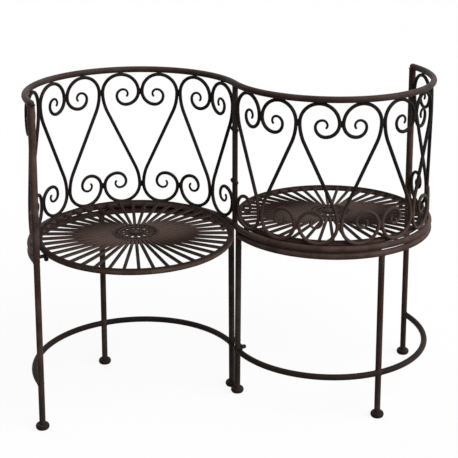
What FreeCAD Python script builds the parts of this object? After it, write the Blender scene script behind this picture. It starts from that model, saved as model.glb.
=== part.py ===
"""A conversation bench: two round seats side by side, facing opposite ways, in one S-shaped back.

The bench is steel tube and bar, in two halves that are the same piece turned half way round.
The origin is on the floor between the two seats, X runs along the bench and Z is up.
"""
import FreeCAD
import Part
import Sketcher
import math
import os

from FreeCAD import Placement, Rotation, Vector

doc = FreeCAD.newDocument("ConversationBench")
sheet = doc.addObject("Spreadsheet::Sheet", "Sizes")

SIZES = [
    # The S in plan: two circles that touch at the bench's centre, a little wider at the floor.
    ("plan_radius_top", 245.5),
    ("lean_out_at_floor", 9.5),
    ("end_post_angle", 189.5),
    ("mid_leg_angle", 96.3),
    # Heights of the tube centre lines.
    ("top_rail_height", 800.0),
    ("support_rail_height", 429.0),
    ("rail_gap", 2.8),
    ("stretcher_height", 118.0),
    # Tube and bar stock.
    ("tube_diameter", 15.0),
    ("tube_wall", 1.5),
    ("post_diameter", 17.0),
    ("post_wall", 1.5),
    ("stile_diameter", 10.0),
    ("stile_wall", 1.2),
    ("scroll_bar_diameter", 8.5),
    # Scrolls of the back.
    ("scroll_count", 8),
    ("scroll_curl_ratio", 0.71),
    ("scroll_hook_angle", 60.0),
    ("scroll_shoulder_radius", 115.0),
    ("scroll_shoulder_share", 0.8),
    # Centre legs, one of each half, which draw together towards the floor.
    ("centre_leg_spread_top", 24.0),
    ("centre_feet_gap", 5.0),
    # Round seats, a little lower at the front than at the back.
    ("seat_rise_over_back_rail", 3.9),
    ("seat_slope", 1.17),
    ("seat_shift_to_back", 5.0),
    ("seat_gap_at_back", 0.4),
    ("slat_count", 42),
    ("slat_diameter", 8.0),
    ("slat_depth_below_ring_top", 0.3),
    ("slat_landing_on_hub", 15.0),
    ("hub_plate_thickness", 2.5),
    ("rosette_height", 7.2),
    ("rosette_thickness", 2.0),
    ("rosette_skirt", 4.0),
    ("rosette_boss_diameter", 32.0),
    ("rosette_boss_rise", 1.4),
    ("rosette_hole_count", 24),
    ("rosette_hole_diameter", 5.5),
    ("rosette_rim", 7.0),
    ("rosette_web", 6.0),
    ("rosette_petal_count", 12),
    ("rosette_petal_width", 7.0),
    # Seat lugs, and the strap that joins the two centre legs.
    ("lug_thickness", 3.4),
    ("lug_width", 14.0),
    ("strap_above_stretcher", 7.0),
    ("strap_width", 14.0),
    ("strap_thickness", 3.0),
    # End posts plug on to the end legs and are coped under the top rail.
    ("post_above_support_rail", 1.0),
    ("post_saddle", 3.0),
    ("spigot_length", 50.0),
    ("spigot_plug_depth", 20.0),
    # Pad feet.
    ("foot_diameter", 33.0),
    ("foot_base_diameter", 28.0),
    ("foot_height", 12.5),
    ("foot_floor_thickness", 4.0),
    # Bolts with domed heads, weld studs under the seats, and ball-headed cap nuts.
    ("bolt_diameter", 6.0),
    ("bolt_head_diameter", 11.0),
    ("bolt_head_height", 4.0),
    ("bolt_end_in_nut", 5.0),
    ("nut_diameter", 11.0),
    ("nut_length", 10.0),
    ("washer_diameter", 13.0),
    ("washer_thickness", 1.5),
    ("back_bolt_from_lobe", 56.0),
    # Clearances: where pieces are welded, where they slip together, and round a bolt.
    ("weld_gap", 0.2),
    ("slip_gap", 0.3),
    ("bolt_gap", 0.3),
]

for row, (alias, number) in enumerate(SIZES, start=1):
    sheet.set("A%d" % row, alias.replace("_", " "))
    sheet.set("B%d" % row, str(number))
    sheet.setAlias("B%d" % row, alias)
doc.recompute()


def size(alias):
    """The sheet's number for one named size."""
    return float(sheet.get(alias))


TUBE_RADIUS = size("tube_diameter") / 2
POST_RADIUS = size("post_diameter") / 2
WELD_GAP = size("weld_gap")
Z_AXIS = Vector(0, 0, 1)
BACK_RAIL_HEIGHT = size("support_rail_height") + size("tube_diameter") + size("rail_gap")
POST_JOINT_HEIGHT = size("support_rail_height") + TUBE_RADIUS + size("post_above_support_rail")
POST_TOP = size("top_rail_height") - TUBE_RADIUS + size("post_saddle")

HALVES = {"left": Placement(Vector(), Rotation(Z_AXIS, 0)),
          "right": Placement(Vector(), Rotation(Z_AXIS, 180))}
nodes = []


def node(made, label):
    """Name a finished piece, so that it is written to its own file."""
    made.Label = label
    nodes.append(made)
    return made


def bind(made, **expressions):
    """Tie properties of an object to expressions in the sheet's names."""
    for name, expression in expressions.items():
        made.setExpression(name, expression)


def sized(expression):
    """Turn names of sizes into references to the sheet."""
    words = []
    for word in expression.split():
        known = any(word == alias for alias, _ in SIZES)
        words.append("Sizes." + word if known else word)
    return " ".join(words)


# Points and directions in plan.

def plan_radius(height):
    """Radius of the S's circles at a height: posts and legs lean out evenly towards the floor."""
    lean = size("lean_out_at_floor") * (1 - height / size("top_rail_height"))
    return size("plan_radius_top") + lean


def on_curve(angle, height):
    """A point of the left half's curve, by its angle about that circle's centre."""
    turn = math.radians(angle)
    radius = plan_radius(height)
    return Vector(radius * (math.cos(turn) - 1), radius * math.sin(turn), height)


def circle_centre(height):
    return Vector(-plan_radius(height), 0, height)


def centre_leg_point(height):
    """A point of the left half's centre leg axis."""
    spread_floor = (size("foot_diameter") + size("centre_feet_gap")) / 2
    share = height / size("support_rail_height")
    across = spread_floor + (size("centre_leg_spread_top") - spread_floor) * share
    radius = plan_radius(height)
    return Vector(math.sqrt(radius ** 2 - across ** 2) - radius, across, height)


def centre_leg_angle(height):
    point = centre_leg_point(height)
    return math.degrees(math.asin(point.y / plan_radius(height)))


def along(start, end):
    """A placement at start whose Z axis points to end."""
    return Placement(start, Rotation(Z_AXIS, end.sub(start)))


# Building blocks.

def plane(body, role):
    return next(made for made in body.Origin.OriginFeatures if made.Role == role)


def sketch_on(body, role, name):
    sketch = body.newObject("Sketcher::SketchObject", name)
    sketch.AttachmentSupport = [(plane(body, role), "")]
    sketch.MapMode = "FlatFace"
    return sketch


def set_constraint(sketch, place, value):
    """Set a sketch's size to a number, or bind it to an expression in the sheet's names."""
    if isinstance(value, str):
        sketch.setExpression("Constraints[%d]" % place, sized(value))
    else:
        sketch.setDatum(place, value)


def add_profile(sketch, edges):
    for edge in edges:
        sketch.addGeometry(edge, False)


def add_circle(sketch, diameter, distance=None):
    """A circle at the sketch's origin, or on its X axis at a distance."""
    curve = sketch.addGeometry(Part.Circle(Vector(1, 0, 0), Z_AXIS, 1), False)
    width = sketch.addConstraint(Sketcher.Constraint("Diameter", curve, 2))
    set_constraint(sketch, width, diameter)
    if distance is None:
        sketch.addConstraint(Sketcher.Constraint("Coincident", curve, 3, -1, 1))
        return
    sketch.addConstraint(Sketcher.Constraint("PointOnObject", curve, 3, -1))
    reach = sketch.addConstraint(Sketcher.Constraint("DistanceX", -1, 1, curve, 3, 1))
    set_constraint(sketch, reach, distance)


def pad(body, sketch, length, name):
    """Raise a sketch to a length: a number, or an expression in the sheet's names."""
    made = body.newObject("PartDesign::Pad", name)
    made.Profile = sketch
    if isinstance(length, str):
        bind(made, Length=sized(length))
    else:
        made.Length = length
    return made


def revolve(body, sketch, angle, name):
    """Turn a sketch of the XZ plane about Z, evenly to both sides of that plane."""
    made = body.newObject("PartDesign::Revolution", name)
    made.Profile = sketch
    made.ReferenceAxis = (sketch, ["V_Axis"])
    made.Midplane = True
    made.Angle = angle
    return made


def straight_tube(name, start, end, half, diameter="tube_diameter", wall="tube_wall"):
    """A round tube from one point to another."""
    body = doc.addObject("PartDesign::Body", name)
    section = sketch_on(body, "XY_Plane", name + "_section")
    add_circle(section, diameter)
    add_circle(section, "%s - 2 * %s" % (diameter, wall))
    pad(body, section, end.sub(start).Length, name + "_length")
    body.Placement = HALVES[half].multiply(along(start, end))
    return body


def bent_tube(name, height, first_angle, last_angle, half):
    """A round tube bent to the plan circle at a height, between two angles of the left half."""
    body = doc.addObject("PartDesign::Body", name)
    section = sketch_on(body, "XZ_Plane", name + "_section")
    radius = "plan_radius_top + lean_out_at_floor * ( 1 - %s / top_rail_height )" % height
    add_circle(section, "tube_diameter", radius)
    add_circle(section, "tube_diameter - 2 * tube_wall", radius)
    revolve(body, section, last_angle - first_angle, name + "_bend")
    turn = Rotation(Z_AXIS, (first_angle + last_angle) / 2)
    body.Placement = HALVES[half].multiply(Placement(circle_centre(height), turn))
    return body


def tube_seat(name, start, end, half, diameter="tube_diameter"):
    """The space that a straight tube takes up, with its weld gap: other tubes are coped to it."""
    tool = doc.addObject("Part::Cylinder", name)
    bind(tool, Radius=sized("%s / 2 + weld_gap" % diameter))
    tool.Height = end.sub(start).Length
    tool.Placement = HALVES[half].multiply(along(start, end))
    return tool


def ring_seat(name, radius, placement):
    """The space that a ring of tube takes up, with its weld gap."""
    tool = doc.addObject("Part::Torus", name)
    tool.Radius1 = radius
    bind(tool, Radius2=sized("tube_diameter / 2 + weld_gap"))
    tool.Placement = placement
    return tool


def rail_seat(name, height, half):
    """The space that a bent rail takes up, with its weld gap."""
    centre = Placement(circle_centre(height), Rotation())
    return ring_seat(name, plan_radius(height), HALVES[half].multiply(centre))


def bolt_hole(name, start, end, half):
    """A round hole for a bolt, from one point to another."""
    tool = doc.addObject("Part::Cylinder", name)
    bind(tool, Radius=sized("bolt_diameter / 2 + bolt_gap"))
    tool.Height = end.sub(start).Length
    tool.Placement = HALVES[half].multiply(along(start, end))
    return tool


def cut(base, tools, name):
    """A piece with others' spaces and holes taken out of it."""
    tool = tools[0]
    if len(tools) > 1:
        tool = doc.addObject("Part::MultiFuse", name + "_cuts")
        tool.Shapes = tools
    made = doc.addObject("Part::Cut", name)
    made.Base = base
    made.Tool = tool
    return made


def cut_node(base, tools, label):
    """A cut piece that is finished."""
    return node(cut(base, tools, label), label)


def group(members, label):
    """Separate solids of one kind that share a node."""
    made = doc.addObject("Part::Compound", label)
    made.Links = members
    return node(made, label)


# The back: top rail, back rail, end post and centre stile of each half.

END = size("end_post_angle")
MID = size("mid_leg_angle")
TOP = size("top_rail_height")
SUPPORT = size("support_rail_height")
STRETCHER = size("stretcher_height")
STILE_OFFSET = size("stile_diameter") / 2 + size("slip_gap") / 2
BUTT_ANGLE = math.degrees(size("slip_gap") / 2 / plan_radius(TOP))

# The scrolls fill the back evenly between the stile and the end post, and between the rails.
SCROLLS = int(size("scroll_count"))
BAR_RADIUS = size("scroll_bar_diameter") / 2
FIRST_SCROLL = math.degrees(math.asin((STILE_OFFSET + size("stile_diameter") / 2 + WELD_GAP)
                                      / plan_radius(TOP)))
LAST_SCROLL = END - math.degrees((POST_RADIUS + WELD_GAP) / plan_radius(TOP))
PITCH = (LAST_SCROLL - FIRST_SCROLL) / SCROLLS
HALF_PITCH = math.radians(PITCH / 2)
LOBE_RADIUS = plan_radius(TOP) * math.sin(HALF_PITCH) - BAR_RADIUS - WELD_GAP
SAGITTA = plan_radius(TOP) * (1 - math.cos(HALF_PITCH))
RAIL_DROP = math.sqrt((TUBE_RADIUS + BAR_RADIUS + WELD_GAP) ** 2 - SAGITTA ** 2)
HALF_RISE = (TOP - BACK_RAIL_HEIGHT) / 2 - RAIL_DROP
CURL_ARCS = [(-size("scroll_hook_angle"), 0), (0, 90), (90, 180), (180, 270), (270, 360)]
CURLS = [LOBE_RADIUS * size("scroll_curl_ratio") ** step for step in range(len(CURL_ARCS) + 1)]
LOBE_REACH = RAIL_DROP + LOBE_RADIUS + size("back_bolt_from_lobe")
BACK_BOLT_HEIGHTS = [BACK_RAIL_HEIGHT + LOBE_REACH, TOP - LOBE_REACH]


def end_axis(low, high):
    return on_curve(END, low), on_curve(END, high)


def mid_axis(low, high):
    return on_curve(MID, low), on_curve(MID, high)


def centre_axis(low, high):
    return centre_leg_point(low), centre_leg_point(high)


def stile_axis(low, high):
    return Vector(0, STILE_OFFSET, low), Vector(0, STILE_OFFSET, high)


def back_bolt_reach(height):
    """The two ends of a bolt's hole through both stiles."""
    reach = STILE_OFFSET + size("stile_diameter")
    return Vector(0, -reach, height), Vector(0, reach, height)


def make_back_frame(half):
    top = bent_tube(half + "_top_rail_tube", TOP, BUTT_ANGLE, END, half)
    ball = top.newObject("PartDesign::AdditiveSphere", half + "_top_rail_end")
    bind(ball, Radius=sized("tube_diameter / 2"))
    sweep = math.radians((END - BUTT_ANGLE) / 2)
    reach = plan_radius(TOP)
    ball.AttachmentOffset = Placement(Vector(reach * math.cos(sweep), reach * math.sin(sweep), 0),
                                      Rotation())
    ball.AttachmentSupport = [(plane(top, "XY_Plane"), "")]
    ball.MapMode = "FlatFace"
    node(top, half + "_top_rail")

    post = straight_tube(half + "_end_post_tube", *end_axis(POST_JOINT_HEIGHT + WELD_GAP, POST_TOP),
                         half, "post_diameter", "post_wall")
    cut_node(post, [rail_seat(half + "_end_post_cope", TOP, half)], half + "_end_post")

    rail = bent_tube(half + "_back_rail_tube", BACK_RAIL_HEIGHT, BUTT_ANGLE, END, half)
    post_seat = tube_seat(half + "_back_rail_cope", *end_axis(POST_JOINT_HEIGHT, TOP), half,
                          "post_diameter")
    cut_node(rail, [post_seat], half + "_back_rail")

    stile = straight_tube(half + "_stile_tube", *stile_axis(BACK_RAIL_HEIGHT, TOP), half,
                          "stile_diameter", "stile_wall")
    copes = [rail_seat(half + "_stile_top_cope", TOP, half),
             rail_seat(half + "_stile_foot_cope", BACK_RAIL_HEIGHT, half)]
    for place, height in enumerate(BACK_BOLT_HEIGHTS):
        copes.append(bolt_hole("%s_stile_hole_%d" % (half, place),
                               *back_bolt_reach(height), half))
    cut_node(stile, copes, half + "_centre_stile")


# Scrolls: one bar bent to an S, its two ends curled in by quarter turns that shrink evenly.

def upper_scroll_path():
    """Edges of the path's upper half, from the hook in its eye to the middle of the bar."""
    centres = [Vector(0, HALF_RISE - LOBE_RADIUS, 0)]
    heading = 0
    for larger, smaller in zip(CURLS, CURLS[1:]):
        turn = math.radians(heading)
        shift = Vector(math.cos(turn), math.sin(turn), 0) * (larger - smaller)
        centres.append(centres[-1].add(shift))
        heading -= 90
    edges = []
    for centre, radius, (start, end) in zip(centres[:0:-1], CURLS[:0:-1], CURL_ARCS):
        circle = Part.Circle(centre, Z_AXIS, radius)
        edges.append(Part.ArcOfCircle(circle, math.radians(start), math.radians(end)))
    lobe = Part.Circle(centres[0], Z_AXIS, LOBE_RADIUS)
    edges.append(Part.ArcOfCircle(lobe, 0, math.pi))
    return edges + shoulder_edges(centres[0])


def shoulder_edges(lobe_centre):
    """The wide bend below the lobe, and the straight bar from there to the middle."""
    widest = (lobe_centre.y ** 2 + LOBE_RADIUS ** 2) / (2 * LOBE_RADIUS)
    radius = min(size("scroll_shoulder_radius"), widest * size("scroll_shoulder_share"))
    centre = lobe_centre.add(Vector(radius - LOBE_RADIUS, 0, 0))
    slope = math.atan2(centre.y, centre.x) - math.acos(radius / centre.Length)
    bend = Part.Circle(centre, Z_AXIS, radius)
    leave = centre.add(Vector(-math.cos(slope), -math.sin(slope), 0) * radius)
    return [Part.ArcOfCircle(bend, math.pi, math.pi + slope), Part.LineSegment(leave, Vector())]


def scroll_path():
    """The whole path: the upper half, and the same turned half way round about the middle."""
    upper = upper_scroll_path()
    bar = upper.pop()
    lower = []
    for edge in upper:
        turned = edge.copy()
        turned.rotate(Placement(Vector(), Rotation(Z_AXIS, 180)))
        lower.append(turned)
    middle = Part.LineSegment(bar.StartPoint, bar.StartPoint.negative())
    return upper + [middle] + lower[::-1]


def scroll_placement(place, half):
    """Flat between two lines of the leaning back, the even ones hooked to the right inside."""
    middle = (TOP + BACK_RAIL_HEIGHT) / 2
    angle = FIRST_SCROLL + PITCH * (place - 0.5)
    turn = math.radians(angle)
    inward = math.cos(HALF_PITCH)

    def chord_point(height):
        radius = plan_radius(height)
        return Vector(radius * (inward * math.cos(turn) - 1),
                      radius * inward * math.sin(turn), height)

    right = Vector(math.sin(turn), -math.cos(turn), 0)
    up = chord_point(TOP).sub(chord_point(BACK_RAIL_HEIGHT))
    frame = Rotation(right, Vector(), up, "ZXY")
    flip = Rotation(Z_AXIS, 0 if place % 2 == 0 else 180)
    return HALVES[half].multiply(Placement(chord_point(middle), frame.multiply(flip)))


def make_scroll(half, place):
    label = "%s_scroll_%d" % (half, place)
    body = doc.addObject("PartDesign::Body", label)
    path = sketch_on(body, "XZ_Plane", label + "_path")
    edges = scroll_path()
    add_profile(path, edges)
    section = sketch_on(body, "XY_Plane", label + "_section")
    start = edges[0].StartPoint
    hook = math.radians(size("scroll_hook_angle"))
    heading = Vector(math.sin(hook), 0, math.cos(hook))
    section.AttachmentOffset = Placement(Vector(start.x, 0, start.y), Rotation(Z_AXIS, heading))
    add_circle(section, "scroll_bar_diameter")
    bar = body.newObject("PartDesign::AdditivePipe", label + "_bar")
    bar.Profile = section
    bar.Spine = (path, ["Edge%d" % (count + 1) for count in range(len(edges))])
    body.Placement = scroll_placement(place, half)
    node(body, label)


# The leg frame: support rail, three legs and two stretchers to each half.

LEG_FOOT = size("foot_floor_thickness") + size("slip_gap")
STRAP = STRETCHER + size("strap_above_stretcher")


def strap_bolt_reach():
    """The two ends of the strap bolt's hole through a centre leg, along X."""
    point = centre_leg_point(STRAP)
    reach = Vector(2 * abs(point.x) + size("tube_diameter") + size("strap_thickness"), 0, 0)
    return point.sub(reach), point.add(reach)


def make_leg_frame(half):
    rail = bent_tube(half + "_support_rail_tube", SUPPORT, centre_leg_angle(SUPPORT), END, half)
    copes = [tube_seat(half + "_support_inner_cope", *centre_axis(0, TOP), half),
             tube_seat(half + "_support_outer_cope", *end_axis(0, TOP), half)]
    cut_node(rail, copes, half + "_support_rail")

    leg = straight_tube(half + "_end_leg_tube", *end_axis(LEG_FOOT, POST_JOINT_HEIGHT), half)
    length = on_curve(END, POST_JOINT_HEIGHT).sub(on_curve(END, LEG_FOOT)).Length
    plug_sketch = sketch_on(leg, "XY_Plane", half + "_plug_section")
    add_circle(plug_sketch, "tube_diameter - tube_wall")
    plug_sketch.AttachmentOffset = Placement(
        Vector(0, 0, length - size("spigot_plug_depth")), Rotation())
    pad(leg, plug_sketch, "spigot_plug_depth", half + "_plug")
    spigot_sketch = sketch_on(leg, "XY_Plane", half + "_spigot_section")
    add_circle(spigot_sketch, "post_diameter - 2 * post_wall - 2 * slip_gap")
    spigot_sketch.AttachmentOffset = Placement(Vector(0, 0, length), Rotation())
    pad(leg, spigot_sketch, "spigot_length", half + "_spigot")
    node(leg, half + "_end_leg")

    leg = straight_tube(half + "_mid_leg_tube", *mid_axis(LEG_FOOT, SUPPORT), half)
    cut_node(leg, [rail_seat(half + "_mid_leg_cope", SUPPORT, half)], half + "_mid_leg")

    leg = straight_tube(half + "_centre_leg_tube", *centre_axis(LEG_FOOT, BACK_RAIL_HEIGHT), half)
    cuts = [rail_seat(half + "_centre_leg_cope", BACK_RAIL_HEIGHT, half),
            bolt_hole(half + "_centre_leg_hole", *strap_bolt_reach(), half)]
    cut_node(leg, cuts, half + "_centre_leg")

    mid_seat = tube_seat(half + "_stretcher_mid_cope", *mid_axis(0, SUPPORT), half)
    inner = bent_tube(half + "_inner_stretcher_tube", STRETCHER,
                      centre_leg_angle(STRETCHER), MID, half)
    centre_seat = tube_seat(half + "_stretcher_centre_cope", *centre_axis(0, SUPPORT), half)
    cut_node(inner, [centre_seat, mid_seat], half + "_inner_stretcher")
    outer = bent_tube(half + "_outer_stretcher_tube", STRETCHER, MID, END, half)
    end_seat = tube_seat(half + "_stretcher_end_cope", *end_axis(0, SUPPORT), half)
    cut_node(outer, [end_seat, mid_seat], half + "_outer_stretcher")


# Pad feet, turned, each with a blind socket for its leg.

def make_foot(half, label, axis):
    body = doc.addObject("PartDesign::Body", label)
    outline = sketch_on(body, "XZ_Plane", label + "_outline")
    socket = TUBE_RADIUS + size("slip_gap")
    base = size("foot_base_diameter") / 2
    belly = size("foot_diameter") / 2
    top = size("foot_height")
    floor = size("foot_floor_thickness")
    swell = Part.Arc(Vector(base, 0, 0), Vector(belly, top / 2, 0), Vector(base, top, 0))
    add_profile(outline, [
        Part.LineSegment(Vector(0, 0, 0), Vector(base, 0, 0)),
        swell,
        Part.LineSegment(Vector(base, top, 0), Vector(socket, top, 0)),
        Part.LineSegment(Vector(socket, top, 0), Vector(socket, floor, 0)),
        Part.LineSegment(Vector(socket, floor, 0), Vector(0, floor, 0)),
        Part.LineSegment(Vector(0, floor, 0), Vector(0, 0, 0)),
    ])
    revolve(body, outline, 360, label + "_turning")
    middle = axis((floor + top) / 2, top)[0]
    body.Placement = HALVES[half].multiply(Placement(Vector(middle.x, middle.y, 0), Rotation()))
    node(body, label)


# Seats: a tube ring, round radial slats, a hub plate under them and a pierced rosette on it.

SEAT_HEIGHT = BACK_RAIL_HEIGHT + size("seat_rise_over_back_rail")
SEAT_FRAME = Placement(Vector(-plan_radius(SEAT_HEIGHT), size("seat_shift_to_back"), SEAT_HEIGHT),
                       Rotation(Vector(1, 0, 0), size("seat_slope")))
SCROLLS_INSIDE = plan_radius(BACK_RAIL_HEIGHT) * math.cos(HALF_PITCH) - BAR_RADIUS
SEAT_RADIUS = (SCROLLS_INSIDE - size("seat_gap_at_back") - size("seat_shift_to_back") - TUBE_RADIUS)
SLAT_RADIUS = size("slat_diameter") / 2
SLAT_START = (SLAT_RADIUS + WELD_GAP / 2) / math.tan(math.pi / size("slat_count"))
HUB_RADIUS = SLAT_START + size("slat_landing_on_hub")
ROSETTE_RADIUS = SLAT_START - size("slip_gap")
HOLE_CIRCLE = ROSETTE_RADIUS - size("rosette_rim") - size("rosette_hole_diameter") / 2
PETAL_START = size("rosette_boss_diameter") / 2 + size("rosette_web")
PETAL_END = HOLE_CIRCLE - size("rosette_hole_diameter") / 2 - size("rosette_web")

# Heights in the seat's own frame, whose origin is at the middle of the ring's tube.
SLAT_BASE = TUBE_RADIUS - size("slat_depth_below_ring_top") - size("slat_diameter")
HUB_BASE = SLAT_BASE - WELD_GAP - size("hub_plate_thickness")
LUG_TOP = -TUBE_RADIUS - WELD_GAP
LUG_BASE = LUG_TOP - size("lug_thickness")


def in_seat(half, turn, reach, height):
    """A placement in the seat's frame that points outwards, at a distance from its centre."""
    spot = Vector(reach * math.cos(turn), reach * math.sin(turn), height)
    local = Placement(spot, Rotation(Z_AXIS, math.degrees(turn)))
    return HALVES[half].multiply(SEAT_FRAME).multiply(local)


def seat_placement(half, height):
    return in_seat(half, 0, 0, height)


def lug_ends():
    """Angle and reach of the lugs about the seat: to the end post, the back rail and the centre leg."""
    height = SEAT_HEIGHT + LUG_BASE
    posts = [on_curve(END, height), on_curve(MID, BACK_RAIL_HEIGHT), centre_leg_point(height)]
    ends = []
    for post in posts:
        local = SEAT_FRAME.inverse().multVec(post)
        ends.append((math.atan2(local.y, local.x), math.hypot(local.x, local.y)))
    return ends


def make_seat(half):
    ring = doc.addObject("PartDesign::Body", half + "_seat_ring")
    section = sketch_on(ring, "XZ_Plane", half + "_seat_ring_section")
    add_circle(section, "tube_diameter", SEAT_RADIUS)
    add_circle(section, "tube_diameter - 2 * tube_wall", SEAT_RADIUS)
    revolve(ring, section, 360, half + "_seat_ring_bend")
    ring.Placement = seat_placement(half, 0)
    node(ring, half + "_seat_ring")
    make_slats(half)
    make_hub(half)


def make_slats(half):
    """Round bars that start side by side at the rosette and are coped to the inside of the ring."""
    body = doc.addObject("PartDesign::Body", half + "_slat_bars")
    body.AllowCompound = True
    section = sketch_on(body, "YZ_Plane", half + "_slat_section")
    section.AttachmentOffset = Placement(Vector(0, 0, SLAT_START), Rotation())
    add_circle(section, "slat_diameter")
    slat = pad(body, section, SEAT_RADIUS - SLAT_START, half + "_slat")
    doc.recompute()
    fan = body.newObject("PartDesign::PolarPattern", half + "_slat_fan")
    fan.Originals = [slat]
    fan.Axis = (plane(body, "Z_Axis"), [""])
    fan.Angle = 360
    bind(fan, Occurrences=sized("slat_count"))
    body.Tip = fan
    body.Placement = seat_placement(half, SLAT_BASE + SLAT_RADIUS)
    ring = ring_seat(half + "_slat_cope", SEAT_RADIUS, seat_placement(half, 0))
    cut_node(body, [ring], half + "_seat_slats")


def make_hub(half):
    hub = doc.addObject("PartDesign::Body", half + "_hub_plate")
    disc = sketch_on(hub, "XY_Plane", half + "_hub_disc")
    add_circle(disc, 2 * HUB_RADIUS)
    add_circle(disc, 2 * (ROSETTE_RADIUS - size("rosette_skirt")))
    pad(hub, disc, "hub_plate_thickness", half + "_hub_pad")
    hub.Placement = seat_placement(half, HUB_BASE)
    node(hub, half + "_hub_plate")

    rosette = doc.addObject("PartDesign::Body", half + "_rosette")
    skirt = sketch_on(rosette, "XY_Plane", half + "_rosette_skirt_ring")
    add_circle(skirt, 2 * ROSETTE_RADIUS)
    add_circle(skirt, 2 * (ROSETTE_RADIUS - size("rosette_skirt")))
    pad(rosette, skirt, "rosette_height", half + "_rosette_skirt")
    under_disc = Placement(Vector(0, 0, size("rosette_height") - size("rosette_thickness")), Rotation())
    disc = sketch_on(rosette, "XY_Plane", half + "_rosette_disc")
    add_circle(disc, 2 * ROSETTE_RADIUS)
    disc.AttachmentOffset = under_disc
    pad(rosette, disc, "rosette_thickness", half + "_rosette_pad")
    boss = sketch_on(rosette, "XY_Plane", half + "_rosette_boss_disc")
    add_circle(boss, "rosette_boss_diameter")
    boss.AttachmentOffset = under_disc
    pad(rosette, boss, "rosette_thickness + rosette_boss_rise", half + "_rosette_boss")
    pierce(rosette, half + "_rosette_hole", hole_outline, "rosette_hole_count")
    pierce(rosette, half + "_rosette_petal", petal_outline, "rosette_petal_count")
    rosette.Placement = seat_placement(half, SLAT_BASE)
    node(rosette, half + "_rosette")


def hole_outline(sketch):
    add_circle(sketch, "rosette_hole_diameter", HOLE_CIRCLE)


def petal_outline(sketch):
    """A leaf between two arcs that meet in a point at each end."""
    start = Vector(PETAL_START, 0, 0)
    end = Vector(PETAL_END, 0, 0)
    belly = Vector(0, size("rosette_petal_width") / 2, 0)
    middle = start.add(end) * 0.5
    add_profile(sketch, [Part.Arc(start, middle.sub(belly), end),
                         Part.Arc(end, middle.add(belly), start)])


def pierce(body, name, outline, count):
    """Cut one opening right through and repeat it evenly round the centre."""
    sketch = sketch_on(body, "XY_Plane", name + "_outline")
    outline(sketch)
    opening = body.newObject("PartDesign::Pocket", name)
    opening.Profile = sketch
    opening.Type = "ThroughAll"
    opening.Reversed = True
    doc.recompute()
    pattern = body.newObject("PartDesign::PolarPattern", name + "_pattern")
    pattern.Originals = [opening]
    pattern.Axis = (sketch, ["N_Axis"])
    pattern.Angle = 360
    bind(pattern, Occurrences=sized(count))
    body.Tip = pattern
    doc.recompute()


# Lugs under the seat ring, three to a seat, and the strap between the centre legs.

def plate(name, length, width, thickness, placement):
    """A flat plate that starts at its placement, runs along X and is centred on it in Y."""
    made = doc.addObject("Part::Box", name)
    made.Length = length
    bind(made, Width=sized(width), Height=sized(thickness))
    shift = Placement(Vector(0, -size(width) / 2, 0), Rotation())
    made.Placement = placement.multiply(shift)
    return made


def make_lugs(half):
    """Flat lugs just under the ring, welded to the end post, the back rail and the centre leg."""
    rail = rail_seat(half + "_lug_rail_cope", BACK_RAIL_HEIGHT, half)
    post = tube_seat(half + "_end_lug_cope", *end_axis(POST_JOINT_HEIGHT, TOP), half, "post_diameter")
    leg = tube_seat(half + "_centre_lug_cope", *centre_axis(0, TOP), half)
    made = []
    for place, copes in enumerate([[rail, post], [rail], [rail, leg]]):
        turn, outer = lug_ends()[place]
        inner = SEAT_RADIUS - size("lug_width") / 2
        name = "%s_lug_%d" % (half, place)
        blank = plate(name, outer - inner, "lug_width", "lug_thickness",
                      in_seat(half, turn, inner, LUG_BASE))
        hole = doc.addObject("Part::Cylinder", name + "_hole")
        bind(hole, Radius=sized("bolt_diameter / 2 + bolt_gap"), Height=sized("lug_thickness"))
        hole.Placement = in_seat(half, turn, SEAT_RADIUS, LUG_BASE)
        made.append(cut(blank, copes + [hole], name + "_cut"))
    group(made, half + "_seat_lugs")


def strap_face():
    """The X of the strap's inner face: it touches the centre leg that stands further out."""
    return -centre_leg_point(STRAP).x + TUBE_RADIUS + WELD_GAP


def make_strap():
    across = centre_leg_point(STRAP).y
    length = 2 * across + size("strap_width")
    upright = Rotation(Vector(0, 1, 0), Vector(0, 0, 1), Vector(1, 0, 0), "ZXY")
    start = Vector(strap_face(), -length / 2, STRAP)
    blank = plate("leg_strap_blank", length, "strap_width", "strap_thickness",
                  Placement(start, upright))
    cuts = []
    for half in HALVES:
        cuts.append(bolt_hole("leg_strap_hole_" + half, *strap_bolt_reach(), half))
        cuts.append(rail_seat("leg_strap_cope_" + half, STRETCHER, half))
    cut_node(blank, cuts, "leg_strap")


# Fasteners: domed bolts, weld studs, washers and ball-headed cap nuts.

def bolt_stack(clamped):
    """Distances along a bolt from under its head: its end, its washer and its nut."""
    washer = clamped + WELD_GAP
    nut = washer + size("washer_thickness") + WELD_GAP
    return {"washer": washer, "nut": nut, "end": nut + size("bolt_end_in_nut")}


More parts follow.
